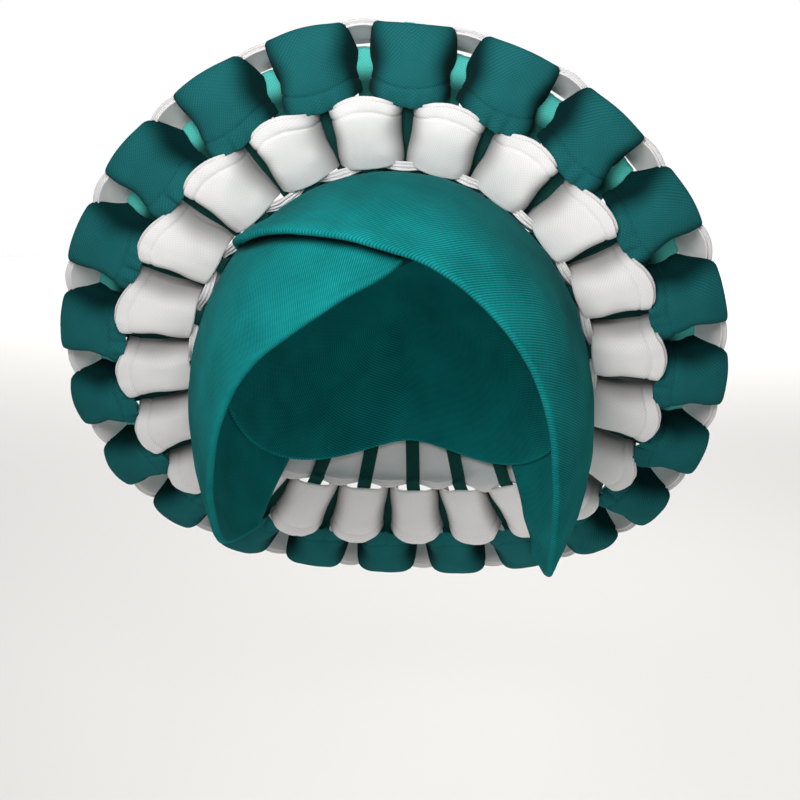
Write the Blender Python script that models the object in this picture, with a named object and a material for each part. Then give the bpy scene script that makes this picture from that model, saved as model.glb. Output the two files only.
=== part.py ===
"""Ready-tied gele: a close cap with two crossed forehead bands and a woven halo.

The halo is a basket weave. Four folded strips run round the head, and narrow folded
stakes cross them: the stake in the middle of a loop lies behind it, and the stake
between two loops lies over the dip that joins them.

Lengths are in millimetres until a mesh is made, which is in metres. The origin is the
top of the head, against the inside of the crown. The face looks towards -Y, +X is the
wearer's left and +Z is up.
"""

import math

import bmesh
import bpy
from mathutils import Vector

MM = 0.001
GAP = 0.35

# Head form that the cap is made on
HEAD_HALF_WIDTH = 76.0
HEAD_FRONT = 93.0
HEAD_BACK = 97.0
HEAD_UP = 86.0
HEAD_DOWN_MEAN = 104.0
HEAD_DOWN_SWING = 10.0
HEAD_CENTRE = Vector((0.0, 0.0, -HEAD_UP))

# Cap and bands
CAP_THICK = 2.2
BAND_THICK = 2.4
BAND_LAYER = CAP_THICK + 0.9
DRESSED = BAND_LAYER + BAND_THICK
CAP_COLUMNS = 36
CAP_ROWS = (0.0, 0.2, 0.42, 0.64, 0.84)
HEM_HEIGHT = -6.0
SEAM_HEIGHT = -18.0

# Where the bands start, cross and stop, as degrees round the halo's axis
LEFT_STOP, LEFT_END = -57.5, 11.0
RIGHT_START, CROSSING, CROSSED = -56.5, -50.0, -40.0

# The right band's soft rolled edge: how much it lies higher, and where (degrees back)
RAISE = BAND_THICK + 0.9
ROLL_WIDTH, ROLL_FADE = 6.0, 16.0
PUFF_FULL = 25.0
TUCK = 4.0

# Halo frame: its centre from the head's centre, its lean, and how it bends
HALO_SHIFT = Vector((-4.0, 24.0, 8.5))
HALO_TILT = math.radians(18.3)
HALO_SQUASH = -2.5
HALO_BEND = -12.0
HALO_SWEEP = 20.0
SWEEP_FROM, SWEEP_TO = 110.0, 180.0
HALO_GROW = 5.0
GROW_FROM, GROW_TO = 100.0, 150.0

# Weave
LOOPS = 22
TURN = math.radians(-3.5)
PITCH_SWING = math.radians(3.5)
STRIP_THICK = 2.4
LOOP_DEPTH = 14.0
DIP_BREADTH = 1.3
HOOP_STEPS = 8
STAKE_THICK = 1.5

HALO_ACROSS = Vector((1.0, 0.0, 0.0))
HALO_RISE = Vector((0.0, -math.sin(HALO_TILT), math.cos(HALO_TILT)))
HALO_FACE = HALO_ACROSS.cross(HALO_RISE)
HALO_CENTRE = HEAD_CENTRE + HALO_SHIFT

# Half a loop's path, crest to dip: share of the pitch, share of the depth.
# None stands for the loop's widest place, which differs from the inner to the outer edge.
LOOP_PATH = (
    (0.0, 1.0), (0.22, 0.965), (0.37, 0.80), (None, 0.52), (0.335, 0.20), (0.37, 0.0), (0.5, 0.0),
)

# Edges of the two front strips: radius at a crest, radius at a dip, height of the
# crest, and the widest place as a share of the pitch
WHITE_INNER, WHITE_OUTER = (88.0, 91.0, -1.2, 0.430), (116.6, 112.0, 3.5, 0.395)
TEAL_INNER, TEAL_OUTER = (113.4, 117.4, -0.1, 0.430), (142.0, 132.0, -5.6, 0.400)

# Inner hoop, on the dressed head: how far it rises over a stake, what its front and
# back edges stand clear, its front edge's height beside and over a stake, and its back edge's
INNER_HOOP_RISE = 2.4
INNER_HOOP_CLEAR_FRONT, INNER_HOOP_CLEAR_BACK = 0.6, 1.3
INNER_HOOP_FRONT_BESIDE, INNER_HOOP_FRONT_OVER = -5.5, -7.5
INNER_HOOP_BACK = -28.0

# Rim hoop, mean and swing: front radius, front height, back radius; and the back height
RIM_FRONT_RADIUS, RIM_FRONT_HEIGHT, RIM_BACK_RADIUS = (138.6, 3.6), (-8.5, 4.8), (132.3, 1.75)
RIM_BACK_HEIGHT = -30.0

# Paths of the stakes: whether the radius is how far it stands clear of the dressed head,
# the radius, the height and the width
STAKE_BEHIND_WHITE = (
    (True, 1.6, -28.0, 5.0), (True, 1.6, -8.0, 5.0), (True, 2.4, -4.4, 5.0), (False, 98.0, -6.0, 5.0),
    (False, 113.0, -10.0, 6.0), (False, 117.4, -11.6, 6.2), (False, 132.0, -16.9, 7.8),
    (False, 134.7, -18.2, 7.8), (False, 130.9, -30.0, 7.8),
)
STAKE_BEHIND_TEAL = (
    (True, 4.9, -28.0, 4.0), (True, 4.5, -14.0, 4.0), (False, 91.5, -12.4, 3.8), (False, 112.0, -8.0, 5.6),
    (False, 125.0, -8.8, 8.0), (False, 133.0, -9.6, 7.0), (False, 138.3, -11.0, 7.0), (False, 133.4, -30.0, 7.0),
)

# Face edges of the bands (degrees): angle round the halo's axis, then how far behind
# the axis the right band's edge lies, and the left band's
RIGHT, LEFT = 1, 2
FACE_EDGES = (
    (-137.0, None, -2.0), (-130.0, None, -18.0), (-123.0, None, -30.0), (-115.0, None, -37.0),
    (-101.0, None, -43.0), (-81.0, None, -47.0), (-63.0, 19.0, -47.5), (-50.0, 6.0, -46.5),
    (-37.0, -7.5, -45.5), (-25.0, -16.5, -44.5), (-14.0, -23.0, -42.0), (-5.0, -26.7, -38.5),
    (3.0, -29.3, -34.5), (11.0, -30.6, -30.5), (20.0, -32.4, -24.0), (31.0, -34.7, -14.0),
    (42.0, -37.0, None), (54.0, -39.3, None), (68.0, -41.7, None), (84.0, -43.5, None),
    (100.0, -43.0, None), (115.0, -39.0, None), (125.0, -33.0, None), (133.0, -23.0, None),
    (141.0, -4.0, None),
)

TEAL = (0.006, 0.150, 0.145)
WHITE = (0.72, 0.72, 0.74)
CLOTH_ROUGHNESS = 0.75


def smooth(value, start, end):
    """Return 0 before start, 1 after end, and an S curve between."""
    part = min(max((value - start) / (end - start), 0.0), 1.0)
    return part * part * (3.0 - 2.0 * part)


def mix(first, second, share):
    """Return the value that lies a share of the way from first to second."""
    return first + (second - first) * share


def turn_from_top(angle):
    """Return the angle from the top of the halo in degrees, from 0 to 180."""
    return abs(math.degrees(math.atan2(math.sin(angle), math.cos(angle))))


def halo_plane(angle):
    """Return how far the weave stands before the halo's plane at an angle."""
    sweep = HALO_SWEEP * smooth(turn_from_top(angle), SWEEP_FROM, SWEEP_TO)
    return HALO_BEND * math.cos(2.0 * angle) - sweep


def halo_point(angle, radius, height):
    """Return a point by its angle from the top, its radius and its height on the face side."""
    grown = radius + HALO_GROW * smooth(turn_from_top(angle), GROW_FROM, GROW_TO)
    across = HALO_ACROSS * (grown * math.sin(angle))
    rise = HALO_RISE * ((grown + HALO_SQUASH) * math.cos(angle))
    return HALO_CENTRE + across + rise + HALO_FACE * (height + halo_plane(angle))


def head_reach(direction, offset):
    """Return the distance from the head's centre to its surface along a direction."""
    deep = HEAD_FRONT if direction.y < 0.0 else HEAD_BACK
    side = math.atan2(direction.x, -direction.y)
    down = HEAD_DOWN_MEAN + HEAD_DOWN_SWING * math.cos(side)
    tall = HEAD_UP if direction.z > 0.0 else down
    halves = (HEAD_HALF_WIDTH + offset, deep + offset, tall + offset)
    return 1.0 / math.sqrt(sum((part / half) ** 2 for part, half in zip(direction, halves)))


def head_point(angle, back, offset):
    """Return a point over the head by its angle round and behind the halo's axis."""
    level = HALO_ACROSS * math.sin(angle) + HALO_RISE * math.cos(angle)
    direction = level * math.cos(back) - HALO_FACE * math.sin(back)
    return HEAD_CENTRE + direction * head_reach(direction, offset)


def seat_angle(angle, height):
    """Return how far behind the halo's axis a height of the weave meets the cap."""
    behind = -HALO_SHIFT.dot(HALO_FACE) - height - halo_plane(angle)
    return math.asin(behind / HEAD_UP)


def seat_radius(angle, height, clear):
    """Return the radius at which a height of the weave stands clear of the dressed head."""
    low, high = 20.0, 140.0
    for _ in range(30):
        middle = 0.5 * (low + high)
        reach = halo_point(angle, middle, height) - HEAD_CENTRE
        if reach.length < head_reach(reach.normalized(), DRESSED + clear):
            low = middle
        else:
            high = middle
    return low


def loop_angle(count):
    """Return the angle of a place counted in loops from the top."""
    plain = 2.0 * math.pi * count / LOOPS
    return TURN + plain + PITCH_SWING * math.sin(plain)


def loop_pitch(count, radius):
    """Return the length of one loop's share of the ring, at a radius."""
    plain = 2.0 * math.pi * count / LOOPS
    return radius * (2.0 * math.pi / LOOPS) * (1.0 + PITCH_SWING * math.cos(plain))


def cloth_material(name, colour):
    """Return a plain cloth material."""
    made = bpy.data.materials.new(name)
    made.use_nodes = True
    shader = made.node_tree.nodes["Principled BSDF"]
    shader.inputs["Base Color"].default_value = (*colour, 1.0)
    shader.inputs["Roughness"].default_value = CLOTH_ROUGHNESS
    shader.inputs["Metallic"].default_value = 0.0
    return made


def add_object(name, points, faces, cloth):
    """Make an object from points in millimetres, with its faces turned outwards."""
    mesh = bpy.data.meshes.new(name)
    mesh.from_pydata([point * MM for point in points], [], faces)
    shape = bmesh.new()
    shape.from_mesh(mesh)
    bmesh.ops.recalc_face_normals(shape, faces=shape.faces)
    shape.to_mesh(mesh)
    shape.free()
    mesh.materials.append(cloth)
    made = bpy.data.objects.new(name, mesh)
    bpy.context.scene.collection.objects.link(made)


def bar_faces(rings, size, closed):
    """Return the faces of a bar given ring by ring, either a closed loop or with two ends."""
    faces = []
    for ring in range(rings if closed else rings - 1):
        here = ring * size
        there = ((ring + 1) % rings) * size
        for corner in range(size):
            after = (corner + 1) % size
            faces.append((here + corner, there + corner, there + after, here + after))
    if not closed:
        last = (rings - 1) * size
        faces.append(tuple(range(size)))
        faces.append(tuple(last + corner for corner in reversed(range(size))))
    return faces


def moved_path(run, side):
    """Return the inner points of a run of flat points, moved sideways with mitred corners."""
    moved = []
    for before, here, after in zip(run, run[1:], run[2:]):
        first = (here - before).normalized()
        second = (after - here).normalized()
        across = Vector((-first.y - second.y, first.x + second.x)).normalized()
        mitre = max(across.dot(Vector((-first.y, first.x))), 0.6)
        moved.append(here + across * (side / mitre))
    return moved


def strip_edge(shift, edge, side):
    """Return the points along one edge of a waved strip, on one of its faces."""
    crest_radius, dip_radius, crest_height, widest = edge
    half = [(widest if along is None else along, depth) for along, depth in LOOP_PATH]
    whole = half + [(1.0 - along, depth) for along, depth in reversed(half[1:-1])]
    points = []
    for loop in range(LOOPS):
        pitch = loop_pitch(loop + shift, crest_radius)
        run = [Vector((along * pitch, (depth - 1.0) * LOOP_DEPTH)) for along, depth in whole]
        step = Vector((pitch, 0.0))
        for place in moved_path([run[-1] - step, *run, run[0] + step], side):
            along = place.x / pitch
            wave = 0.5 + 0.5 * math.cos(2.0 * math.pi * along)
            radius = mix(dip_radius, crest_radius, wave ** DIP_BREADTH)
            points.append(halo_point(loop_angle(loop + shift + along), radius, crest_height + place.y))
    return points


def waved_strip(name, shift, inner, outer, cloth):
    """Make a strip that runs round the halo in loops, its width across the front."""
    half = 0.5 * STRIP_THICK
    edges = [strip_edge(shift, inner, half), strip_edge(shift, outer, half)]
    edges += [strip_edge(shift, outer, -half), strip_edge(shift, inner, -half)]
    points = [point for corners in zip(*edges) for point in corners]
    add_object(name, points, bar_faces(len(edges[0]), len(edges), True), cloth)


def inner_hoop(name, cloth):
    """Make the hoop on the cap, which rises over every second stake."""
    points = []
    for step in range(LOOPS * HOOP_STEPS):
        count = step / HOOP_STEPS
        angle = loop_angle(count)
        over = 0.5 + 0.5 * math.cos(2.0 * math.pi * count)
        front = mix(INNER_HOOP_FRONT_BESIDE, INNER_HOOP_FRONT_OVER, over)
        front_clear = INNER_HOOP_CLEAR_FRONT + INNER_HOOP_RISE * over
        back_clear = INNER_HOOP_CLEAR_BACK + INNER_HOOP_RISE * over
        corners = ((front, front_clear), (front, front_clear + STRIP_THICK))
        corners += ((INNER_HOOP_BACK, back_clear + STRIP_THICK), (INNER_HOOP_BACK, back_clear))
        for height, clear in corners:
            points.append(halo_point(angle, seat_radius(angle, height, clear), height))
    add_object(name, points, bar_faces(LOOPS * HOOP_STEPS, 4, True), cloth)


def rim_hoop(name, cloth):
    """Make the hoop at the rim: its front edge bulges out between the teal loops."""
    points = []
    half = 0.5 * STRIP_THICK
    for step in range(LOOPS * HOOP_STEPS):
        count = step / HOOP_STEPS
        angle = loop_angle(count)
        wave = math.cos(2.0 * math.pi * count)
        front = Vector([mean + swing * wave for mean, swing in (RIM_FRONT_RADIUS, RIM_FRONT_HEIGHT)])
        back = Vector((RIM_BACK_RADIUS[0] + RIM_BACK_RADIUS[1] * wave, RIM_BACK_HEIGHT))
        width = (front - back).normalized()
        out = Vector((width.y, -width.x)) * half
        for place in (front - out, front + out, back + out, back - out):
            points.append(halo_point(angle, place.x, place.y))
    add_object(name, points, bar_faces(LOOPS * HOOP_STEPS, 4, True), cloth)


def stake(name, count, path, cloth):
    """Make one stake, a flat folded strip that crosses the weave from the cap to the rim."""
    angle = loop_angle(count)
    run = []
    for seated, radius, height, _ in path:
        run.append(Vector((seat_radius(angle, height, radius) if seated else radius, height)))
    run = [2.0 * run[0] - run[1], *run, 2.0 * run[-1] - run[-2]]
    faces = [moved_path(run, side) for side in (0.5 * STAKE_THICK, -0.5 * STAKE_THICK)]
    points = []
    for index, (seated, clear, _, width) in enumerate(path):
        lean = 0.5 * width / faces[0][index].x
        for face, turn in ((0, -lean), (0, lean), (1, lean), (1, -lean)):
            place = faces[face][index]
            follow = 0.0
            if seated:
                follow = seat_radius(angle + turn, place.y, clear) - seat_radius(angle, place.y, clear)
            points.append(halo_point(angle + turn, place.x + follow, place.y))
    add_object(name, points, bar_faces(len(path), 4, False), cloth)


def shell_object(name, outer, inner, wrap, pole, cloth):
    """Make a wall from two grids of points, given column by column."""
    columns, rows = len(outer), len(outer[0])
    points = [point for grid in (outer, inner) for column in grid for point in column]
    below = columns * rows
    faces = []
    for column in range(columns if wrap else columns - 1):
        beside = (column + 1) % columns
        for row in range(rows - 1):
            low, high = column * rows + row, beside * rows + row
            faces.append((low, high, high + 1, low + 1))
            faces.append((below + low, below + low + 1, below + high + 1, below + high))
        edge, next_edge = column * rows, beside * rows
        faces.append((edge, below + edge, below + next_edge, next_edge))
        if not pole:
            end, next_end = edge + rows - 1, next_edge + rows - 1
            faces.append((end, next_end, below + next_end, below + end))
    if not wrap:
        last = (columns - 1) * rows
        for row in range(rows - 1):
            faces.append((row, row + 1, below + row + 1, below + row))
            faces.append((last + row, below + last + row, below + last + row + 1, last + row + 1))
    if pole:
        for point, base, turned in ((pole[0], 0, False), (pole[1], below, True)):
            tip = len(points)
            points.append(point)
            for column in range(columns):
                here = base + column * rows + rows - 1
                there = base + ((column + 1) % columns) * rows + rows - 1
                faces.append((there, here, tip) if turned else (here, there, tip))
    add_object(name, points, faces, cloth)


def edge_angle(turn, column):
    """Return how far behind the axis a band's face edge lies, read between the table's rows."""
    rows = [row for row in FACE_EDGES if row[column] is not None]
    for low, high in zip(rows, rows[1:]):
        if turn <= high[0]:
            break
    return mix(low[column], high[column], (turn - low[0]) / (high[0] - low[0]))


def cap(name, cloth):
    """Make the close cap, from under the halo to the back of the head and the nape."""
    sides = []
    for offset in (CAP_THICK, 0.0):
        grid = []
        for column in range(CAP_COLUMNS):
            angle = 2.0 * math.pi * column / CAP_COLUMNS
            seam = seat_angle(angle, SEAM_HEIGHT)
            backs = [seat_angle(angle, HEM_HEIGHT)] + [mix(seam, 0.5 * math.pi, row) for row in CAP_ROWS]
            grid.append([head_point(angle, back, offset) for back in backs])
        sides.append(grid)
    pole = [head_point(0.0, 0.5 * math.pi, offset) for offset in (CAP_THICK, 0.0)]
    shell_object(name, sides[0], sides[1], True, pole, cloth)


def right_column(turn):
    """Return the right band's rows at one angle: how far behind the axis, and how far off the head."""
    edge = edge_angle(turn, RIGHT)
    hem = math.degrees(seat_angle(math.radians(turn), HEM_HEIGHT))
    seam = math.degrees(seat_angle(math.radians(turn), SEAM_HEIGHT))
    start = min(edge + ROLL_WIDTH, 0.5 * (edge + hem))
    backs = [edge, start, mix(start, hem, 0.33), mix(start, hem, 0.66), hem, seam]
    column = []
    for back in backs:
        rolled = (1.0 - smooth(back - edge, ROLL_WIDTH, ROLL_FADE)) * smooth(turn, RIGHT_START, CROSSING)
        puffed = smooth(-back, 0.0, PUFF_FULL)
        column.append((back, BAND_LAYER + RAISE * max(rolled, puffed)))
    return column


def left_column(turn):
    """Return the left band's rows at one angle; past the crossing it is tucked under the right band."""
    edge = edge_angle(turn, LEFT)
    hem = math.degrees(seat_angle(math.radians(turn), HEM_HEIGHT))
    seam = math.degrees(seat_angle(math.radians(turn), SEAM_HEIGHT))
    backs = [mix(edge, hem, step / 4.0) for step in range(5)] + [seam]
    if turn > LEFT_STOP:
        tuck = edge_angle(max(turn, RIGHT_START), RIGHT) + mix(-0.8, TUCK, smooth(turn, CROSSING, CROSSED))
        backs = [mix(edge, tuck, step / 5.0) for step in range(6)]
    return [(back, BAND_LAYER) for back in backs]


def band(name, turns, column_at, cloth):
    """Make one forehead band from its columns, each running from the face edge to the seam."""
    outer, inner = [], []
    for turn in turns:
        column = column_at(turn)
        angle = math.radians(turn)
        outer.append([head_point(angle, math.radians(back), off + BAND_THICK) for back, off in column])
        inner.append([head_point(angle, math.radians(back), off) for back, off in column])
    shell_object(name, outer, inner, False, None, cloth)


def build():
    """Make every piece of the head tie."""
    for old in list(bpy.data.objects):
        bpy.data.objects.remove(old, do_unlink=True)
    teal = cloth_material("teal_cloth", TEAL)
    white = cloth_material("white_cloth", WHITE)
    cap("cap", teal)
    tens = [10.0 * step for step in range(-13, 14)]
    left_turns = [-137.0, *[turn for turn in tens if turn < LEFT_STOP], LEFT_STOP, LEFT_STOP + 0.4]
    left_turns += [turn for turn in tens if LEFT_STOP + 1.0 < turn < LEFT_END] + [LEFT_END]
    right_turns = [RIGHT_START, *[turn for turn in tens if turn > RIGHT_START], 141.0]
    band("forehead_band_left", left_turns, left_column, teal)
    band("forehead_band_right", right_turns, right_column, teal)
    inner_hoop("inner_hoop_white", white)
    waved_strip("loop_strip_white", 0.0, WHITE_INNER, WHITE_OUTER, white)
    waved_strip("loop_strip_teal", 0.5, TEAL_INNER, TEAL_OUTER, teal)
    rim_hoop("rim_hoop_white", white)
    for loop in range(LOOPS):
        stake(f"stake_white_{loop + 1:02d}", loop, STAKE_BEHIND_WHITE, teal)
        stake(f"stake_teal_{loop + 1:02d}", loop + 0.5, STAKE_BEHIND_TEAL, teal)


build()
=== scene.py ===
"""Look of a ready-tied gele: a close cap, two crossed forehead bands and a woven halo.

Every piece is cloth folded to a double layer, so each is made the same way. Its middle
surface is worked out as a grid of points, with a column for each step along the piece
and a row for each step across it. The grid is then given a front, a back and two edges,
which are a rounded fold or two open layers.

Lengths are in millimetres until a mesh is made, which is in metres. The origin is the
inside of the cap's crown, the open front looks towards -Y and +X is the wearer's left.
The form that the cap follows and the halo's frame have the sizes that the solids have.
"""

import math
import random

import bmesh
import bpy
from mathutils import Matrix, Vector, noise


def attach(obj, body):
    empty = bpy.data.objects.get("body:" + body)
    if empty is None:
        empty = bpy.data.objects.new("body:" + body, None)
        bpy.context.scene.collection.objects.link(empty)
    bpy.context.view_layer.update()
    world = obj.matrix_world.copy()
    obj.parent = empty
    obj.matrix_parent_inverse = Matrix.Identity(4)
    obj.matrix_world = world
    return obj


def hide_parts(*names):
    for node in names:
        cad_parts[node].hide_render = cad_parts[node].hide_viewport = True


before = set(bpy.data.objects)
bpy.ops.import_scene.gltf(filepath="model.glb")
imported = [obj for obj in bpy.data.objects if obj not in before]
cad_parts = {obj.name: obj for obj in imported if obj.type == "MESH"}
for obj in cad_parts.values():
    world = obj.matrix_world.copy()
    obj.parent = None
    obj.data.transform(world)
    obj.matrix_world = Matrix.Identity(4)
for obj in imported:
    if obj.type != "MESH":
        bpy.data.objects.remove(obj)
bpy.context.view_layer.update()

MM = 0.001
LOOPS = 22

# The form that the cap follows, an ellipsoid whose reach differs in front, behind, above
# and below, where it also swings with the direction
FORM_HALF_WIDTH = 76.0
FORM_FRONT = 93.0
FORM_BACK = 97.0
FORM_UP = 86.0
FORM_DOWN_MEAN = 104.0
FORM_DOWN_SWING = 10.0
FORM_CENTRE = Vector((0.0, 0.0, -FORM_UP))

# The cloth on the form: thicknesses, how far off it the bands begin and end, and the
# weave's heights at which the cap's hem and the bands' seams meet the cap
CAP_THICK = 2.2
BAND_THICK = 2.4
BAND_LAYER = CAP_THICK + 0.3
OVER_BANDS = BAND_LAYER + 2.3
HEM_HEIGHT = -6.0
SEAM_HEIGHT = -18.0

# The halo's frame. It stands on a plane whose top leans forward, is bent like a saddle,
# and is swept back and grown towards its lower end, between angles in degrees from its
# top.
HALO_SHIFT = Vector((-4.0, 24.0, 8.5))
HALO_TILT = math.radians(18.3)
HALO_SQUASH = -2.5
HALO_BEND = -12.0
HALO_SWEEP = 20.0
SWEEP_FROM, SWEEP_TO = 110.0, 180.0
HALO_GROW = 5.0
GROW_FROM, GROW_TO = 100.0, 150.0

# Angle of the first loop, and how far the loops at the sides are moved down, which spreads
# those at the top and closes up those at the bottom
TURN = math.radians(-3.5)
PITCH_SWING = math.radians(3.5)

# Radii between which a seat on the cap is looked for, and how often that span is halved
SEAT_SEARCH = (50.0, 130.0)
SEAT_HALVINGS = 16

# Least radius of the weave's foot in front, and the heights over which it flares to that
FOOT_LEAST = 80.6
FOOT_FLARE = (-20.0, -6.0)

HALO_ACROSS = Vector((1.0, 0.0, 0.0))
HALO_RISE = Vector((0.0, -math.sin(HALO_TILT), math.cos(HALO_TILT)))
HALO_FACE = HALO_ACROSS.cross(HALO_RISE)
HALO_CENTRE = FORM_CENTRE + HALO_SHIFT


def smooth(value, start, end):
    """Return 0 before start, 1 after end, and an S curve between."""
    part = min(max((value - start) / (end - start), 0.0), 1.0)
    return part * part * (3.0 - 2.0 * part)


def mix(first, second, share):
    """Return the value that lies a share of the way from first to second."""
    return first + (second - first) * share


def hump(value, middle, width):
    """Return 1 at the middle, falling to nothing over about the width to each side."""
    return math.exp(-(((value - middle) / width) ** 2))


def turn_from_top(angle):
    """Return the angle from the top of the halo in degrees, from 0 to 180."""
    return abs(math.degrees(math.atan2(math.sin(angle), math.cos(angle))))


def halo_plane(angle):
    """Return how far the weave stands before the halo's plane at an angle."""
    sweep = HALO_SWEEP * smooth(turn_from_top(angle), SWEEP_FROM, SWEEP_TO)
    return HALO_BEND * math.cos(2.0 * angle) - sweep


def halo_point(angle, radius, height):
    """Return a point by its angle from the top, its radius and its height before the plane."""
    grown = radius + HALO_GROW * smooth(turn_from_top(angle), GROW_FROM, GROW_TO)
    across = HALO_ACROSS * (grown * math.sin(angle))
    rise = HALO_RISE * ((grown + HALO_SQUASH) * math.cos(angle))
    return HALO_CENTRE + across + rise + HALO_FACE * (height + halo_plane(angle))


def form_reach(direction, offset):
    """Return how far a layer some offset off the form is from its centre in a direction."""
    deep = FORM_FRONT if direction.y < 0.0 else FORM_BACK
    side = math.atan2(direction.x, -direction.y)
    down = FORM_DOWN_MEAN + FORM_DOWN_SWING * math.cos(side)
    tall = FORM_UP if direction.z > 0.0 else down
    x, y, z = direction
    wide = FORM_HALF_WIDTH + offset
    return 1.0 / math.sqrt((x / wide) ** 2 + (y / (deep + offset)) ** 2 + (z / (tall + offset)) ** 2)


def form_point(angle, back, offset):
    """Return a point off the form by its angle round and behind the halo's axis."""
    level = HALO_ACROSS * math.sin(angle) + HALO_RISE * math.cos(angle)
    direction = level * math.cos(back) - HALO_FACE * math.sin(back)
    return FORM_CENTRE + direction * form_reach(direction, offset)


def seat_angle(angle, height):
    """Return how far behind the halo's axis a height of the weave meets the cap."""
    behind = -HALO_SHIFT.dot(HALO_FACE) - height - halo_plane(angle)
    return math.asin(behind / FORM_UP)


def seat_radius(angle, height, clear):
    """Return the radius at which a height of the weave stands clear of cap and bands."""
    low, high = SEAT_SEARCH
    for _ in range(SEAT_HALVINGS):
        middle = 0.5 * (low + high)
        reach = halo_point(angle, middle, height) - FORM_CENTRE
        if reach.length < form_reach(reach.normalized(), OVER_BANDS + clear):
            low = middle
        else:
            high = middle
    return low


def foot_radius(angle, height, clear):
    """Return a radius at the weave's foot, which flares in front where the cap is narrow."""
    seated = seat_radius(angle, height, clear)
    short = max(FOOT_LEAST + clear - seated, 0.0)
    return seated + short * smooth(height, *FOOT_FLARE)


def loop_angle(count):
    """Return the angle of a place counted in loops from the top."""
    plain = 2.0 * math.pi * count / LOOPS
    return TURN + plain + PITCH_SWING * math.sin(plain)


# Cloth walls

# Half the thickness of cloth in two layers, and steps round a folded edge
WALL_HALF = 1.15
FOLD_STEPS = 6

# Open edges of a folded strip: how far out, and how far before the middle, in halves of
# the thickness. The back layer reaches a little further than the front, more so in a
# lip, and a triple edge shows three layers.
OPEN_EDGE = (
    (0.20, 0.98), (0.42, 0.62), (0.22, 0.24), (-1.2, 0.08), (-1.2, -0.08), (1.15, -0.24), (1.35, -0.62),
    (1.10, -0.96),
)
OPEN_LIP = (
    (0.20, 0.98), (0.42, 0.62), (0.22, 0.24), (-1.2, 0.08), (-1.2, -0.08), (2.35, -0.24), (2.60, -0.62),
    (2.30, -0.96),
)
OPEN_TRIPLE = (
    (0.10, 0.97), (0.28, 0.80), (0.12, 0.62), (-0.55, 0.50), (-0.55, 0.42), (0.42, 0.26), (0.58, 0.04),
    (0.42, -0.18), (-0.45, -0.32), (-0.45, -0.40), (0.62, -0.54), (0.74, -0.76), (0.55, -0.97),
)
EDGES = {"open": OPEN_EDGE, "lip": OPEN_LIP, "triple": OPEN_TRIPLE}


def grid_normals(grid, wrap):
    """Return the unit normals of a grid of points, and its directions across."""
    columns, rows = len(grid), len(grid[0])
    normals, acrosses = [], []
    for c, column in enumerate(grid):
        before = grid[c - 1] if wrap or c else column
        after = grid[(c + 1) % columns] if wrap or c + 1 < columns else column
        line, spans = [], []
        for r in range(rows):
            across = column[min(r + 1, rows - 1)] - column[max(r - 1, 0)]
            normal = (after[r] - before[r]).cross(across).normalized()
            line.append(normal)
            spans.append(across.normalized())
        normals.append(line)
        acrosses.append(spans)
    return normals, acrosses


def edge_outline(kind):
    """Return one edge's points, from the front layer round to the back one."""
    if kind in EDGES:
        return EDGES[kind]
    turns = [math.pi * (0.5 - (step + 1) / (FOLD_STEPS + 1)) for step in range(FOLD_STEPS)]
    return [(math.cos(turn), math.sin(turn)) for turn in turns]


def wall_ring(column, normals, acrosses, halves, first_outline, last_outline):
    """Return the points round the wall at one column, and how far each is from the last edge."""
    rows = len(column)
    spans = [0.0]
    for r in range(rows - 1, 0, -1):
        spans.append(spans[-1] + (column[r] - column[r - 1]).length)
    spans.reverse()
    points, from_edge = [], []
    for r in range(rows):
        points.append(column[r] + normals[r] * halves[r])
        from_edge.append(spans[r])
    for out, up in last_outline:
        points.append(column[-1] + (acrosses[-1] * out + normals[-1] * up) * halves[-1])
        from_edge.append(-out * halves[-1])
    for r in reversed(range(rows)):
        points.append(column[r] - normals[r] * halves[r])
        from_edge.append(spans[r])
    for out, up in first_outline:
        points.append(column[0] + (normals[0] * up - acrosses[0] * out) * halves[0])
        from_edge.append(spans[0] + out * halves[0])
    return points, from_edge


def wall_faces(columns, size, wrap, closed):
    """Return the faces between rings of a size, and those that close the wall's ends."""
    faces = []
    for c in range(columns if wrap else columns - 1):
        here, there = c * size, ((c + 1) % columns) * size
        for k in range(size - 1 if closed else size):
            beside = (k + 1) % size
            faces.append((here + k, there + k, there + beside, here + beside))
    if closed:
        faces.append(tuple(c * size for c in range(columns)))
        faces.append(tuple(c * size + size - 1 for c in reversed(range(columns))))
    if not wrap:
        last = (columns - 1) * size
        faces.append(tuple(range(size)))
        faces.append(tuple(last + k for k in reversed(range(size))))
    return faces


def map_cloth(mesh, size, wrap, along, from_edge):
    """Give the mesh a UV map of metres along the piece, and metres from its last edge."""
    layer = mesh.uv_layers.new(name="cloth")
    columns = len(from_edge) // size
    for polygon in mesh.polygons:
        ring = [mesh.loops[i].vertex_index // size for i in polygon.loop_indices]
        seam = wrap and columns - 1 in ring and 0 in ring
        for i, c in zip(polygon.loop_indices, ring):
            column = columns if seam and c == 0 else c
            layer.data[i].uv = (along[column] * MM, from_edge[mesh.loops[i].vertex_index] * MM)


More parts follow.
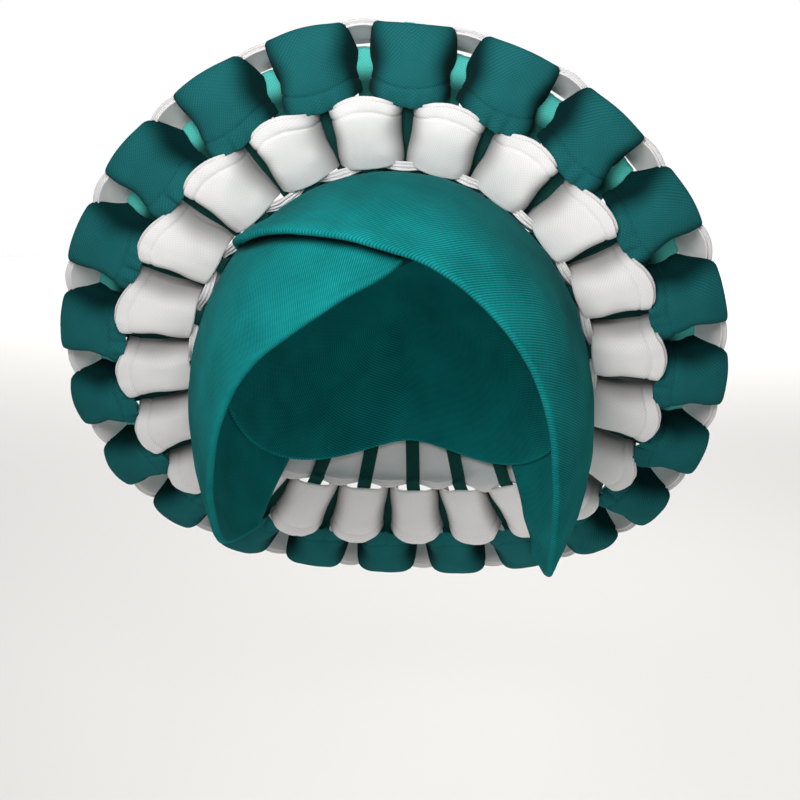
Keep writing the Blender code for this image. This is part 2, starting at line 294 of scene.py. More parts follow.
def cloth_wall(name, grid, wrap, half, first_edge, last_edge, cloth, painted_shade=None):
    """Make a closed cloth wall about a grid of points.

    half gives the half thickness at a column and a row, and the last function how much
    painted shade the colour gets at that place. A first edge that is "closed" meets itself, as at the
    crown of the cap.
    """
    columns, rows = len(grid), len(grid[0])
    normals, acrosses = grid_normals(grid, wrap)
    middle = rows // 2
    along = [0.0]
    for c in range(1, columns + (1 if wrap else 0)):
        along.append(along[-1] + (grid[c % columns][middle] - grid[c - 1][middle]).length)
    closed = first_edge == "closed"
    first_outline = [] if closed else list(reversed(edge_outline(first_edge)))
    last_outline = edge_outline(last_edge)
    points, from_edge = [], []
    for c, column in enumerate(grid):
        halves = [half(c, r) for r in range(rows)]
        ring, gaps = wall_ring(column, normals[c], acrosses[c], halves, first_outline, last_outline)
        points += ring
        from_edge += gaps
    size = len(points) // columns
    mesh = bpy.data.meshes.new(name)
    mesh.from_pydata([point * MM for point in points], [], wall_faces(columns, size, wrap, closed))
    map_cloth(mesh, size, wrap, along, from_edge)
    shape = bmesh.new()
    shape.from_mesh(mesh)
    bmesh.ops.recalc_face_normals(shape, faces=shape.faces)
    shape.to_mesh(mesh)
    shape.free()
    mesh.polygons.foreach_set("use_smooth", [True] * len(mesh.polygons))
    # Painted shade: kept on the points for the finish to darken the colour with.
    if painted_shade:
        ring_rows = list(range(rows)) + [rows - 1] * len(last_outline)
        ring_rows += list(reversed(range(rows))) + [0] * len(first_outline)
        deep = mesh.attributes.new("painted_shade", "FLOAT", "POINT")
        depths = [painted_shade(c, r) for c in range(columns) for r in ring_rows]
        deep.data.foreach_set("value", depths)
    mesh.materials.append(cloth)
    made = bpy.data.objects.new(name, mesh)
    bpy.context.scene.collection.objects.link(made)
    return made


def rounded_run(controls, steps, wrap):
    """Return points on a smooth curve through the controls, with some steps between each two."""
    count = len(controls)
    run = []
    for index in range(count if wrap else count - 1):
        if wrap:
            before, here = controls[index - 1], controls[index]
            after, beyond = controls[(index + 1) % count], controls[(index + 2) % count]
        else:
            before, here = controls[max(index - 1, 0)], controls[index]
            after, beyond = controls[index + 1], controls[min(index + 2, count - 1)]
        for step in range(steps):
            t = step / steps
            run.append(
                0.5
                * (
                    2.0 * here
                    + (after - before) * t
                    + (2.0 * before - 5.0 * here + 4.0 * after - beyond) * t**2
                    + (3.0 * here - before - 3.0 * after + beyond) * t**3
                )
            )
    if not wrap:
        run.append(controls[-1].copy())
    return run


# Loop strips

LOOP_DEPTH = 14.0
LOOP_STEPS = 4

# How far the stitching is from the open edge, how much that edge widens in shares of a
# loop, and how many half waves its ruffles make along a loop
STITCH_IN = 4.6
FLARE = 0.022
RUFFLES = 7.0

# Rows of the strip near its open edge: millimetres from that edge
NEAR_STITCH = (7.2, 6.2, 5.6, 5.2, 4.8, 4.4, 4.0, 3.4, 2.4, 1.2, 0.0)

# Half a loop's path from its crest to its dip: share of the pitch, share of the depth.
# None stands for the loop's widest place.
WHITE_PATH = (
    (0.0, 1.0), (0.16, 0.985), (0.30, 0.90), (None, 0.55), (0.395, 0.24), (0.42, 0.03), (0.5, 0.0),
)
TEAL_PATH = (
    (0.0, 1.0), (0.14, 0.985), (0.26, 0.915), (0.352, 0.70), (None, 0.40), (0.425, 0.16), (0.45, 0.02),
    (0.5, 0.0),
)

# Two values are for the inner and the outer edge of a strip, except that inner and outer
# hold the edge's radius at a loop's crest and in its dip, and closer holds how much
# nearer the inner edge lies at the top and on the wearer's right. slimmer narrows the
# loops at the sides, sag leans them down there, waist narrows their middle, ruffle
# waves the stitched edge, and corner is the depth from which the edges draw in.
WHITE_STRIP = {
    "name": "loop_strip_white", "shift": 0.0, "seed": 4, "open": "outer", "path": WHITE_PATH,
    "inner": (87.4, 88.4), "outer": (115.4, 112.2), "heights": (-1.6, 3.0), "dome": 1.4,
    "arch": (-1.8, 5.0), "widest": (0.442, 0.384), "slimmer": (0.88, 0.92), "sag": 0.095,
    "waist": 0.050, "ruffle": 0.15, "corner": 0.97, "closer": (0.8, 2.2),
}
TEAL_STRIP = {
    "name": "loop_strip_teal", "shift": 0.5, "seed": 9, "open": "inner", "path": TEAL_PATH,
    "inner": (114.4, 117.2), "outer": (141.8, 125.5), "heights": (-0.1, -6.2), "dome": 2.0,
    "arch": (-3.8, 0.9), "widest": (0.396, 0.402), "slimmer": (0.90, 0.88), "sag": 0.085,
    "waist": 0.075, "ruffle": 0.60, "corner": 0.80, "closer": (0.0, 0.0),
}


def loop_run(path, widest, slimmer=1.0):
    """Return one loop's path as flat points on a smooth curve, from its crest to the next."""
    half = []
    for along, depth in path:
        part = widest if along is None else along
        half.append(Vector((part * mix(1.0, slimmer, smooth(depth, 0.0, 0.4)), depth)))
    controls = half + [Vector((1.0 - point.x, point.y)) for point in reversed(half[1:-1])]
    step = Vector((1.0, 0.0))
    run = [controls[-2] - step, controls[-1] - step, *controls, controls[0] + step, controls[1] + step]
    whole = rounded_run(run, LOOP_STEPS, False)
    return whole[2 * LOOP_STEPS:(2 + len(controls)) * LOOP_STEPS]


def loop_quirks(seed):
    """Return small differences from loop to loop, as of hand-folded cloth."""
    dice = random.Random(seed)
    return [
        {
            "lean": dice.uniform(-0.022, 0.022),
            "twist": dice.uniform(-0.05, 0.05),
            "widen": dice.uniform(-0.05, 0.05),
            "lift": dice.uniform(-0.7, 0.7),
            "reach": dice.uniform(-0.8, 0.8),
        }
        for _ in range(LOOPS)
    ]


def crumple(place, amount):
    """Return a small soft dent or swelling for a place on the cloth."""
    return amount * (noise.noise(place * 0.085) + 0.5 * noise.noise(place * 0.19))


def strip_radius(strip, share, fall, bend, angle, reach):
    """Return a radius by the share across the strip, its fall to the dip and the flank's bend."""
    first = mix(strip["inner"][0], strip["inner"][1], fall) - strip["arch"][0] * bend
    first -= strip["closer"][0] * max(math.cos(angle), 0.0)
    first -= strip["closer"][1] * max(-math.sin(angle), 0.0)
    second = mix(strip["outer"][0] + reach, strip["outer"][1], fall)
    second -= strip["arch"][1] * bend
    return mix(first, second, share)


def strip_height(strip, share, depth, lift):
    """Return a height by the share across the strip and the share of the loops' depth."""
    dome = strip["dome"] * (4.0 * share * (1.0 - share)) * smooth(depth, 0.3, 1.0)
    crest = mix(strip["heights"][0], strip["heights"][1], share) + lift + dome
    return crest + (depth - 1.0) * LOOP_DEPTH


def loop_grid(strip, shares):
    """Return the middle surface of a strip that runs round the halo in loops."""
    quirks = loop_quirks(strip["seed"])
    full = [loop_run(strip["path"], widest) for widest in strip["widest"]]
    slim = [loop_run(strip["path"], *sizes) for sizes in zip(strip["widest"], strip["slimmer"])]
    open_share = 0.0 if strip["open"] == "inner" else 1.0
    grid = []
    for loop in range(LOOPS):
        for place in range(len(full[0])):
            middle = loop_angle(loop + full[0][place].x + strip["shift"])
            aside = smooth(abs(math.sin(middle)), 0.25, 0.95)
            inner, outer = [first[place].lerp(second[place], aside) for first, second in zip(full, slim)]
            column = []
            for share in shares:
                along, depth = inner.lerp(outer, share)
                spread = FLARE * hump(share, open_share, 0.16) - strip["waist"] * hump(share, 0.5, 0.30)
                along += spread * math.sin(2.0 * math.pi * along)
                nearer = 0 if along <= 0.5 else 1
                quirk = quirks[(loop + nearer) % LOOPS]
                local = along - nearer
                pull = math.cos(math.pi * local) ** 2
                askew = quirk["lean"] + quirk["twist"] * (share - 0.5) + quirk["widen"] * local
                moved = local + pull * askew + strip["sag"] * depth * math.sin(middle)
                angle = loop_angle(loop + nearer + moved + strip["shift"])
                fall = 1.0 - smooth(depth, 0.0, strip["corner"])
                bend = min(abs(local) / 0.40, 1.0) ** 2 * (1.0 - fall)
                radius = strip_radius(strip, share, fall, bend, angle, quirk["reach"] * pull)
                height = strip_height(strip, share, depth, quirk["lift"] * pull)
                flank = math.sin(2.0 * math.pi * local) ** 2
                spot = Vector((loop * 31.0 + along * 30.0, radius, strip["seed"] * 7.0))
                dent = crumple(spot, 0.35 + 0.9 * flank)
                wave = RUFFLES * math.pi * local
                ruffle = math.sin(wave + loop) + math.sin(1.7 * wave)
                dent += strip["ruffle"] * ruffle * hump(share, open_share, 0.13) * pull
                column.append(halo_point(angle, radius, height + dent))
            grid.append(column)
    return grid


def loop_strip(strip, cloth):
    """Make a waved strip: two layers, folded at one edge and stitched near the other."""
    width = abs(strip["outer"][0] - strip["inner"][0])
    to_open = [width - 0.1, width - 0.8, width - 2.0, width - 4.0]
    to_open += [mix(width - 6.5, 8.6, step / 6) for step in range(7)] + list(NEAR_STITCH)
    flipped = strip["open"] == "inner"
    shares = [(gap / width if flipped else 1.0 - gap / width) for gap in to_open]
    grid = loop_grid(strip, shares)
    profile = []
    for gap in to_open:
        seam = 0.42 * hump(gap, STITCH_IN, 0.7)
        fill = 0.22 * smooth(gap, STITCH_IN, STITCH_IN + 5.0) * smooth(width - gap, 0.0, 5.0)
        profile.append(WALL_HALF - seam + fill)
    depths = [point.y for point in loop_run(strip["path"], strip["widest"][1])]

    def half(_column, row):
        """Return the half thickness, pinched at the stitching and full beyond it."""
        return profile[row]

    def painted_shade(column, _row):
        """Return the painted shade: 0 on the front of a loop and 1 down in its dip."""
        return 1.0 - smooth(depths[column % len(depths)], 0.54, 1.01)

    last = "lip" if flipped else "open"
    return cloth_wall(strip["name"] + "_cloth", grid, True, half, "fold", last, cloth, painted_shade)


# Hoops

HOOP_STEPS = 24
HOOP_ROWS = 12

# Inner hoop: how far its middle stands clear at its back and its front edge, how much
# further under each loop, the front edge's height between and under the loops, the back
# edge's height, and the swell at the front between the loops
INNER_HOOP_CLEAR = (2.7, 1.8)
INNER_HOOP_RISE = 2.4
INNER_HOOP_FRONT = (-2.6, -7.5)
INNER_HOOP_BACK = -28.0
INNER_HOOP_SWELL = 0.75

# Rim hoop: mean radius or height of an edge, and how much more it has at each whole
# count. RIM_BELLY is how far its middle bulges.
RIM_FRONT_RADIUS = (139.2, 1.6)
RIM_FRONT_HEIGHT = (-12.4, 1.6)
RIM_BACK_RADIUS = (130.6, -0.3)
RIM_BACK_HEIGHT = -30.0
RIM_BELLY = 0.8


def under_loop(count):
    """Return 1 under a white loop, at each whole count, and 0 halfway between two."""
    return 0.5 + 0.5 * math.cos(2.0 * math.pi * count)


def front_swell(share, over):
    """Return how much the inner hoop swells at its front edge between the white loops."""
    return INNER_HOOP_SWELL * smooth(share, 0.6, 1.0) * (1.0 - over)


def inner_hoop(cloth):
    """Make the hoop at the foot of the halo, three layers thick at its open front edge."""
    grid = []
    for step in range(LOOPS * HOOP_STEPS):
        count = step / HOOP_STEPS
        angle = loop_angle(count)
        over = under_loop(count)
        front = mix(INNER_HOOP_FRONT[0], INNER_HOOP_FRONT[1], over)
        column = []
        for row in range(HOOP_ROWS + 1):
            share = row / HOOP_ROWS
            height = mix(INNER_HOOP_BACK, front, share)
            clear = mix(INNER_HOOP_CLEAR[0], INNER_HOOP_CLEAR[1], share) + INNER_HOOP_RISE * over
            clear += front_swell(share, over)
            column.append(halo_point(angle, foot_radius(angle, height, clear), height))
        grid.append(column)

    def half(column, row):
        """Return the half thickness, swelling at the front edge between the white loops."""
        return WALL_HALF + front_swell(row / HOOP_ROWS, under_loop(column / HOOP_STEPS))

    return cloth_wall("inner_hoop_cloth", grid, True, half, "fold", "triple", cloth)


def rim_hoop(cloth):
    """Make the hoop at the rim, open at its front edge, which bulges between the teal loops."""
    quirks = loop_quirks(17)
    grid = []
    for step in range(LOOPS * HOOP_STEPS):
        count = step / HOOP_STEPS
        wave = math.cos(2.0 * math.pi * count)
        quirk = quirks[round(count) % LOOPS]
        pull = max(wave, 0.0)
        front_radius = RIM_FRONT_RADIUS[0] + RIM_FRONT_RADIUS[1] * wave + quirk["reach"] * pull
        front_height = RIM_FRONT_HEIGHT[0] + RIM_FRONT_HEIGHT[1] * wave + quirk["lift"] * pull
        back_radius = RIM_BACK_RADIUS[0] + RIM_BACK_RADIUS[1] * wave
        column = []
        for row in range(HOOP_ROWS + 1):
            share = row / HOOP_ROWS
            radius = mix(back_radius, front_radius, share) + RIM_BELLY * math.sin(math.pi * share)
            column.append(halo_point(loop_angle(count), radius, mix(RIM_BACK_HEIGHT, front_height, share)))
        grid.append(column)
    return cloth_wall("rim_hoop_cloth", grid, True, lambda _c, _r: WALL_HALF, "fold", "open", cloth)


# Stakes

STAKE_ROWS = 9
STAKE_STEPS = 4

# Half thickness, what the fold adds to that, and how far the middle bulges
STAKE_HALF, STAKE_FOLD, STAKE_BELLY = 0.6, 0.28, 0.5

# Radii outwards and heights forwards over which a stake comes out of its painted shade into its painted
# glow of light from behind
STAKE_OUT = (118.0, 125.0)
STAKE_FORWARD = (-24.0, -17.0)

# Paths: whether the radius is instead how far it stands clear of cap and bands, the
# radius, the height and the width
STAKE_BEHIND_WHITE = (
    (True, 1.6, -28.0, 5.0), (True, 1.6, -8.0, 5.0), (True, 2.6, -4.6, 5.0), (False, 98.0, -6.0, 5.0),
    (False, 113.0, -10.4, 6.0), (False, 118.0, -12.4, 6.6), (False, 125.4, -15.8, 8.0),
    (False, 129.4, -18.8, 8.4), (False, 127.0, -30.0, 8.0),
)
STAKE_BEHIND_TEAL = (
    (True, 4.9, -28.0, 4.0), (True, 4.5, -14.0, 4.0), (False, 91.5, -12.0, 4.2), (False, 101.0, -9.8, 5.4),
    (False, 112.0, -8.0, 5.6), (False, 125.0, -8.8, 8.0), (False, 135.0, -9.4, 7.4),
    (False, 139.7, -12.0, 7.4), (False, 138.2, -20.5, 7.2), (False, 134.4, -30.0, 7.0),
)


def stake(name, count, path, seed, cloth):
    """Make one stake, a strip folded in three, crossing the weave from the cap to the rim."""
    dice = random.Random(seed)
    lean = math.radians(dice.uniform(-0.5, 0.5))
    angle = loop_angle(count)
    controls = []
    for seated, radius, height, width in path:
        place = foot_radius(angle, height, radius) if seated else radius
        controls.append(Vector((place, height, width)))
    run = rounded_run(controls, STAKE_STEPS, False)
    grid = []
    for index, (radius, height, width) in enumerate(run):
        drift = lean * math.sin(math.pi * index / (len(run) - 1))
        column = []
        for row in reversed(range(STAKE_ROWS + 1)):
            share = row / STAKE_ROWS - 0.5
            belly = STAKE_BELLY * (1.0 - 4.0 * share * share)
            turn = share * width / radius + drift
            column.append(halo_point(angle + turn, radius, height + belly))
        grid.append(column)

    def half(_column, row):
        """Return the half thickness, with a step where the fold lies over itself."""
        return STAKE_HALF + STAKE_FOLD * smooth(row / STAKE_ROWS, 0.42, 0.54)

    def painted_shade(column, _row):
        """Return the painted shade: 0 in the open place before the rim, where the painted glow shows, and
        1 elsewhere on the stake.
        """
        return 1.0 - smooth(run[column].x, *STAKE_OUT) * smooth(run[column].y, *STAKE_FORWARD)

    return cloth_wall(name, grid, False, half, "fold", "fold", cloth, painted_shade)


# Cap and forehead bands

# Angles round the halo's axis, in degrees from its top: where the left band starts, goes
# under the right one and ends, where the right band starts and ends, and between which
# two it crosses
LEFT_START, LEFT_STOP, LEFT_END = -137.0, -53.0, 11.0
RIGHT_START, RIGHT_END = -52.0, 141.0
CROSSING, CROSSED = -46.0, -37.0

# The right band lies higher by RAISE in the soft roll along its edge, which fades over
# these degrees back from it, and where the band puffs out before the axis. A lip along
# the edge is higher still on the turns between its start and its end.
RAISE = BAND_THICK + 0.9
ROLL_FADE = (6.0, 16.0)
PUFF_FULL = 25.0
LIP, LIP_WIDTH = 2.4, 6.0
LIP_STARTS, LIP_ENDS = (-46.0, -30.0), (0.0, 35.0)

# Degrees by which the left band begins behind the right one's edge, at the start of the
# crossing and after it. Millimetres over which the shade falls off beside that edge, and
# degrees over which it sets in.
TUCK = (-0.8, 4.0)
BAND_SHADE = (6.0, 10.5)
SHADE_TURNS = 14.0

# Degrees between a band's columns, and the power that sets its rows closer together
# towards its edge
BAND_STEP = 1.5
BAND_ROWS = 40
ROW_CLOSENESS = 0.8

# The bands' edges at the open front (degrees): angle round the halo's axis, then how far
# behind the axis the right band's edge lies, and the left band's
RIGHT, LEFT = 1, 2
FRONT_EDGES = (
    (-137.0, None, -2.0), (-130.0, None, -18.0), (-123.0, None, -30.0), (-115.0, None, -37.0),
    (-101.0, None, -43.0), (-81.0, None, -47.0), (-63.0, 38.0, -47.5), (-50.0, 17.0, -46.5),
    (-37.0, -7.0, -45.5), (-25.0, -16.5, -44.5), (-14.0, -23.0, -42.0), (-5.0, -26.7, -38.5),
    (3.0, -29.3, -34.5), (11.0, -30.6, -27.6), (20.0, -32.4, -24.0), (31.0, -34.7, -14.0),
    (42.0, -37.0, None), (54.0, -39.3, None), (68.0, -41.7, None), (84.0, -43.5, None),
    (100.0, -43.0, None), (115.0, -39.0, None), (125.0, -33.0, None), (133.0, -23.0, None),
    (141.0, -4.0, None),
)


def edge_angle(turn, side):
    """Return how far behind the axis a band's edge lies, on a smooth curve through the table."""
    rows = [(row[0], row[side]) for row in FRONT_EDGES if row[side] is not None]
    index = max(i for i in range(len(rows) - 1) if rows[i][0] <= turn or i == 0)
    before, here = rows[max(index - 1, 0)], rows[index]
    after, beyond = rows[index + 1], rows[min(index + 2, len(rows) - 1)]
    span = after[0] - here[0]
    t = (turn - here[0]) / span
    start = (after[1] - before[1]) / (after[0] - before[0]) * span
    end = (beyond[1] - here[1]) / (beyond[0] - here[0]) * span
    return (
        (2.0 * t**3 - 3.0 * t**2 + 1.0) * here[1]
        + (t**3 - 2.0 * t**2 + t) * start
        + (3.0 * t**2 - 2.0 * t**3) * after[1]
        + (t**3 - t**2) * end
    )


def right_column(turn):
    """Return the right band's middle, from its seam to its edge, as angle and offset pairs."""
    edge = edge_angle(turn, RIGHT)
    seam = math.degrees(seat_angle(math.radians(turn), SEAM_HEIGHT))
    column = []
    for row in range(BAND_ROWS + 1):
        back = mix(seam, edge, (row / BAND_ROWS) ** ROW_CLOSENESS)
        rolled = (1.0 - smooth(back - edge, *ROLL_FADE)) * smooth(turn, RIGHT_START, CROSSED)
        puffed = smooth(-back, 0.0, PUFF_FULL)
        lip = LIP * (1.0 - smooth(back - edge, 0.0, LIP_WIDTH))
        lip *= smooth(turn, *LIP_STARTS) * (1.0 - smooth(turn, *LIP_ENDS))
        column.append((back, BAND_LAYER + 0.5 * BAND_THICK + RAISE * max(rolled, puffed) + lip))
    return column


def left_column(turn):
    """Return the left band's middle; past the crossing it is tucked under the right band."""
    edge = edge_angle(turn, LEFT)
    start = math.degrees(seat_angle(math.radians(turn), SEAM_HEIGHT))
    if turn > LEFT_STOP:
        tuck = mix(TUCK[0], TUCK[1], smooth(turn, CROSSING, CROSSED))
        start = edge_angle(max(turn, RIGHT_START), RIGHT) + tuck
    column = []
    for row in range(BAND_ROWS + 1):
        back = mix(start, edge, (row / BAND_ROWS) ** ROW_CLOSENESS)
        column.append((back, BAND_LAYER + 0.5 * BAND_THICK))
    return column


def band(name, turns, column_at, seed, cloth, shaded_from=None):
    """Make a forehead band: cloth folded to a soft roll at its front edge."""
    grid = []
    for turn in turns:
        angle = math.radians(turn)
        column = []
        for back, offset in column_at(turn):
            place = form_point(angle, math.radians(back), offset)
            ease = crumple(place + Vector((seed, 0.0, 0.0)), 0.35)
            column.append(form_point(angle, math.radians(back), offset + ease))
        grid.append(column)

    def half(_column, row):
        """Return the half thickness, a little fuller at the rolled edge."""
        return WALL_HALF + 0.35 * smooth(row / BAND_ROWS, 0.86, 0.97)

    def painted_shade(column, row):
        """Return the painted shade: 1 under the edge of the other band, falling to 0 a little way from it.
        """
        if not shaded_from or turns[column] < shaded_from:
            return 0.0
        away = (grid[column][row] - grid[column][0]).length
        fade = smooth(turns[column], shaded_from, shaded_from + SHADE_TURNS)
        return fade * (1.0 - smooth(away, *BAND_SHADE))

    return cloth_wall(name, grid, False, half, "fold", "fold", cloth, painted_shade)


def turns_between(start, end):
    """Return angles from start to end, about a band step apart."""
    count = round((end - start) / BAND_STEP)
    return [mix(start, end, step / count) for step in range(count + 1)]


CAP_STEPS = 120
CAP_ROWS = 36

# Radians from the pole at which the cap's rows end, just short of meeting
CROWN = 0.008


def cap(cloth):
    """Make the close cap, from under the halo to the back of the head and the nape."""
    grid = []
    for step in range(CAP_STEPS):
        angle = 2.0 * math.pi * step / CAP_STEPS
        hem = seat_angle(angle, HEM_HEIGHT)
        column = []
        for row in range(CAP_ROWS + 1):
            back = mix(0.5 * math.pi - CROWN, hem, row / CAP_ROWS)
            place = form_point(angle, back, 0.5 * CAP_THICK)
            column.append(form_point(angle, back, 0.5 * CAP_THICK + crumple(place, 0.25)))
        grid.append(column)
    return cloth_wall("cap_cloth", grid, True, lambda _c, _r: 0.5 * CAP_THICK, "closed", "fold", cloth)


# Cloth finishes

# Stitches in metres: their length, the gap between two and half the thread's width
STITCH_LENGTH, STITCH_GAP, STITCH_HALF = 0.0026, 0.0009, 0.00028

# Two knits: how many ribs long a stitch is, and how strongly it shows
BEADED = (1.3, 0.6)
TWILL = (3.1, 0.2)

# A wave node of scale 1 has a wave each 2 pi / 20 metres
WAVE_UNIT = 20.0


def math_node(tree, operation, *values):
    """Add a math node fed by sockets or numbers, and return its result."""
    node = tree.nodes.new("ShaderNodeMath")
    node.operation = operation
    for socket, value in zip(node.inputs, values):
        if isinstance(value, (int, float)):
            socket.default_value = value
        else:
            tree.links.new(value, socket)
    return node.outputs[0]


def colour_ramp(nodes, first, last):
    """Add a ramp between two pairs of a position and a colour, and return its node."""
    ramp = nodes.new("ShaderNodeValToRGB")
    for element, (position, colour) in zip(ramp.color_ramp.elements, (first, last)):
        element.position = position
        element.color = (*colour, 1.0)
    return ramp


def wave_pattern(tree, vector, length, distortion):
    """Add a pattern of waves of a length in metres, and return its node."""
    made = tree.nodes.new("ShaderNodeTexWave")
    made.inputs["Scale"].default_value = 2.0 * math.pi / (WAVE_UNIT * length)
    made.inputs["Distortion"].default_value = distortion
    made.inputs["Detail"].default_value = 1.0
    tree.links.new(vector, made.inputs["Vector"])
    return made


def stitching(tree, cloth_map):
    """Return sockets that are 1 along the stitched line, and 1 on a stitch in that line."""
    apart = tree.nodes.new("ShaderNodeSeparateXYZ")
    tree.links.new(cloth_map, apart.inputs["Vector"])
    off_line = math_node(tree, "ABSOLUTE", math_node(tree, "SUBTRACT", apart.outputs["Y"], STITCH_IN * MM))
    line = math_node(tree, "LESS_THAN", off_line, STITCH_HALF)
    pitch = STITCH_LENGTH + STITCH_GAP
    step = math_node(tree, "FRACT", math_node(tree, "DIVIDE", apart.outputs["X"], pitch))
    on_stitch = math_node(tree, "LESS_THAN", step, STITCH_LENGTH / pitch)
    return line, math_node(tree, "MULTIPLY", line, on_stitch)


def knit(
    name, face, rib, rib_turn, rib_depth, stitched=False, glow=0.0, dim=0.0, contrast=0.74, bead=BEADED
):
    """Return a double-knit finish with fine diagonal ribs, and stitching near its open edge.

    rib and rib_depth are in metres and rib_turn in degrees from the piece's length. dim
    is how much painted shade darkens the cloth where its points hold shade, contrast how
    dark the grooves are against the face, and bead how many ribs long a stitch is and how
    strongly it shows.
    """
    made = bpy.data.materials.new(name)
    made.use_nodes = True
    tree = made.node_tree
    nodes, links = tree.nodes, tree.links
    shader = nodes["Principled BSDF"]
    shader.inputs["Roughness"].default_value = 0.82
    shader.inputs["Sheen Weight"].default_value = 0.02
    shader.inputs["Sheen Roughness"].default_value = 0.5
    shader.inputs["Specular IOR Level"].default_value = 0.0
    if glow:
        shader.inputs["Subsurface Weight"].default_value = glow
        shader.inputs["Subsurface Radius"].default_value = (0.4, 1.0, 1.0)
        shader.inputs["Subsurface Scale"].default_value = 0.004

    cloth_map = nodes.new("ShaderNodeUVMap")
    cloth_map.uv_map = "cloth"
    turned = nodes.new("ShaderNodeMapping")
    turned.inputs["Rotation"].default_value = (0.0, 0.0, math.radians(rib_turn))
    links.new(cloth_map.outputs["UV"], turned.inputs["Vector"])
    ribs = wave_pattern(tree, turned.outputs["Vector"], rib, 0.7)
    ribs.inputs["Detail Scale"].default_value = 1.6
    beads = wave_pattern(tree, turned.outputs["Vector"], rib * bead[0], 1.5)
    beads.bands_direction = "Y"
    beaded = math_node(tree, "MULTIPLY_ADD", beads.outputs["Fac"], bead[1], 1.0 - bead[1])
    yarn = math_node(tree, "MULTIPLY", ribs.outputs["Fac"], beaded)

    broad = nodes.new("ShaderNodeTexNoise")
    broad.inputs["Scale"].default_value = 55.0
    broad.inputs["Detail"].default_value = 3.0
    place = nodes.new("ShaderNodeTexCoord")
    links.new(place.outputs["Object"], broad.inputs["Vector"])
    blotches = math_node(tree, "MULTIPLY", broad.outputs["Fac"], 0.6)
    shade = math_node(tree, "MULTIPLY_ADD", yarn, 0.55, blotches)
    height = yarn
    if stitched:
        line, thread = stitching(tree, cloth_map.outputs["UV"])
        height = math_node(tree, "MULTIPLY_ADD", thread, 1.6, yarn)
        shade = math_node(tree, "MULTIPLY_ADD", line, -0.36, shade)
        shade = math_node(tree, "MULTIPLY_ADD", thread, 0.30, shade)

    tint = colour_ramp(nodes, (0.25, [contrast * part for part in face]), (0.85, face))
    links.new(shade, tint.inputs["Fac"])
    cloth_colour = tint.outputs["Color"]
    # Painted shade: the colour is darkened by dim times the shade held on the points.
    if dim:
        deep = nodes.new("ShaderNodeAttribute")
        deep.attribute_name = "painted_shade"
        darker = nodes.new("ShaderNodeMix")
        darker.data_type = "RGBA"
        darker.blend_type = "MULTIPLY"
        darker.inputs["Factor"].default_value = 1.0
        links.new(cloth_colour, darker.inputs["A"])
        links.new(math_node(tree, "MULTIPLY_ADD", deep.outputs["Fac"], -dim, 1.0), darker.inputs["B"])
        cloth_colour = darker.outputs["Result"]
    links.new(cloth_colour, shader.inputs["Base Color"])

    bump = nodes.new("ShaderNodeBump")
    bump.inputs["Strength"].default_value = 0.75
    bump.inputs["Distance"].default_value = rib_depth
    links.new(height, bump.inputs["Height"])
    links.new(bump.outputs["Normal"], shader.inputs["Normal"])
    return made


# Painted shade, at strength dim: in the loops' dips, on the left band under the right one's edge, and on
# the stakes but for their open place before the rim.
BAND_TEAL = (0.008, 0.262, 0.262)
teal_band = knit("teal_band_knit", BAND_TEAL, 0.00090, 45.0, 0.00009, dim=0.80, contrast=0.42, bead=TWILL)
teal_left = knit("teal_left_knit", BAND_TEAL, 0.00086, 12.0, 0.00009, dim=0.80, contrast=0.42, bead=TWILL)
teal_loops = knit(
    "teal_loop_knit", (0.016, 0.152, 0.160), 0.00085, 38.0, 0.00009, stitched=True, dim=0.80, contrast=0.62
)
# The stakes are teal cloth, but their colour is a bright cyan painted glow of light coming through them
# from behind; painted shade darkens it everywhere but before the rim.
teal_stakes = knit("teal_stake_knit", (0.110, 0.640, 0.560), 0.00085, 40.0, 0.00007, glow=0.5, dim=0.88)
white_loops = knit(
    "white_loop_knit", (0.89, 0.865, 0.855), 0.00080, 40.0, 0.00002, stitched=True, dim=0.55, contrast=0.86
)
white_hoops = knit("white_hoop_knit", (0.80, 0.78, 0.78), 0.00070, 40.0, 0.00002, contrast=0.90)


# Assembly

# Width and length that the cap is cut from, in metres
CAP_CUT = (0.190, 0.200)


def place_cloth(made, node, cut=None):
    """Let a piece ride on the body and stand for its solid.

    A strip's flat size is its own length, and one layer's area over that length. A piece
    A piece that isn't a strip is cut from a rectangle, which cut gives; cut is not used.
    """
    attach(made, "root")
    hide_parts(node)
    if cut:
        return


place_cloth(cap(teal_band), "cap", cut=CAP_CUT)
left_turns = turns_between(LEFT_START, LEFT_STOP) + turns_between(LEFT_STOP + 0.4, LEFT_END)
right_turns = turns_between(RIGHT_START, RIGHT_END)
left_band = band("band_left_cloth", left_turns, left_column, 3.0, teal_left, CROSSING)
right_band = band("band_right_cloth", right_turns, right_column, 8.0, teal_band)
white_strip = loop_strip(WHITE_STRIP, white_loops)
teal_strip = loop_strip(TEAL_STRIP, teal_loops)
place_cloth(left_band, "forehead_band_left")
place_cloth(right_band, "forehead_band_right")
place_cloth(inner_hoop(white_hoops), "inner_hoop_white")
place_cloth(white_strip, "loop_strip_white")
place_cloth(teal_strip, "loop_strip_teal")
place_cloth(rim_hoop(white_hoops), "rim_hoop_white")
for loop in range(LOOPS):
    number = f"{loop + 1:02d}"
    first = stake("stake_white_cloth_" + number, loop, STAKE_BEHIND_WHITE, loop, teal_stakes)
    place_cloth(first, "stake_white_" + number)
    second = stake("stake_teal_cloth_" + number, loop + 0.5, STAKE_BEHIND_TEAL, loop + 50, teal_stakes)
    place_cloth(second, "stake_teal_" + number)


# Floor, light and camera

FLOOR_LEVEL = -0.36
FLOOR_COLOUR = (0.80, 0.79, 0.77, 1.0)

# The sky's brightness, by how far towards the back a direction points, from 0 to 1
SKY_FRONT = (0.62, (0.056, 0.054, 0.054))
SKY_BACK = (0.88, (1.0, 1.0, 1.0))

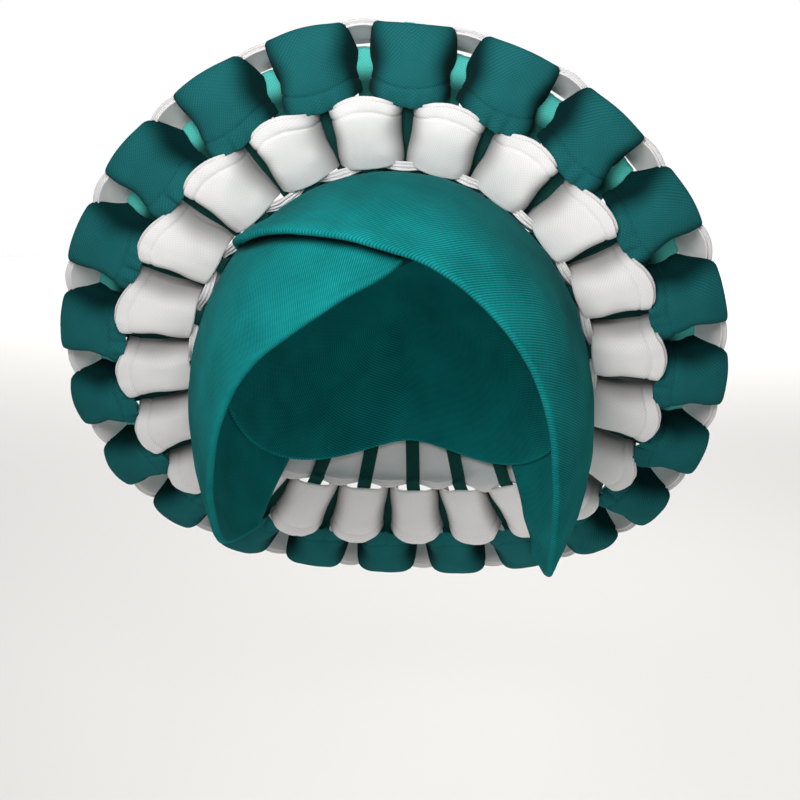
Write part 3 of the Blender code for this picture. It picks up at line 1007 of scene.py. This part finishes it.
# Lamps: name, place, aim, width in metres and power in watts
LAMPS = (
    ("key_lamp", (-0.17, -0.46, 0.25), (0.0, 0.0, 0.0), 0.22, 0.47),
    ("front_lamp", (-0.01, -0.255, 0.082), (0.0, -0.05, 0.06), 0.13, 0.70),
    ("low_lamp", (0.09, -0.50, -0.30), (0.10, 0.05, -0.20), 0.20, 0.38),
    ("rim_lamp", (0.15, 0.55, 0.45), (0.0, 0.0, 0.0), 0.40, 3.5),
    ("back_lamp", (0.0, 3.6, 1.6), (0.0, 3.4, FLOOR_LEVEL), 4.0, 150.0),
)

# The camera's place in metres, its lens in millimetres, and its rise from straight down
# and turn to the left in degrees
CAMERA_PLACE = (0.0459, -0.4411, 0.0067)
CAMERA_LENS = 49.5
CAMERA_RISE, CAMERA_TURN = 78.0, 5.5


def area_light(name, place, aim, size, power):
    """Add a soft square lamp that faces a point."""
    lamp = bpy.data.lights.new(name, "AREA")
    lamp.shape = "SQUARE"
    lamp.size = size
    lamp.energy = power
    made = bpy.data.objects.new(name, lamp)
    bpy.context.scene.collection.objects.link(made)
    made.location = place
    made.rotation_euler = (Vector(aim) - Vector(place)).to_track_quat("-Z", "Y").to_euler()
    made.visible_camera = False


bpy.ops.object.select_all(action="DESELECT")
bpy.ops.mesh.primitive_plane_add(size=8.0, location=(0.0, 0.0, FLOOR_LEVEL))
floor = bpy.context.object
floor.name = "floor"
pale = bpy.data.materials.new("pale_floor")
pale.use_nodes = True
pale.node_tree.nodes["Principled BSDF"].inputs["Base Color"].default_value = FLOOR_COLOUR
pale.node_tree.nodes["Principled BSDF"].inputs["Roughness"].default_value = 0.9
floor.data.materials.append(pale)

world = bpy.data.worlds.new("studio")
world.use_nodes = True
sky = world.node_tree
heading = sky.nodes.new("ShaderNodeTexCoord")
parts = sky.nodes.new("ShaderNodeSeparateXYZ")
towards_back = math_node(sky, "MULTIPLY_ADD", parts.outputs["Y"], 0.5, 0.5)
brightness = colour_ramp(sky.nodes, SKY_FRONT, SKY_BACK)
background = sky.nodes["Background"]
background.inputs["Strength"].default_value = 1.0
sky.links.new(heading.outputs["Generated"], parts.inputs["Vector"])
sky.links.new(towards_back, brightness.inputs["Fac"])
sky.links.new(brightness.outputs["Color"], background.inputs["Color"])
bpy.context.scene.world = world
bpy.context.scene.view_settings.view_transform = "Standard"

for lamp in LAMPS:
    area_light(*lamp)

camera = bpy.data.cameras.new("camera")
camera.sensor_width = 36.0
camera.lens = CAMERA_LENS
view = bpy.data.objects.new("camera", camera)
bpy.context.scene.collection.objects.link(view)
view.location = CAMERA_PLACE
view.rotation_euler = (math.radians(CAMERA_RISE), 0.0, math.radians(CAMERA_TURN))
bpy.context.scene.camera = view
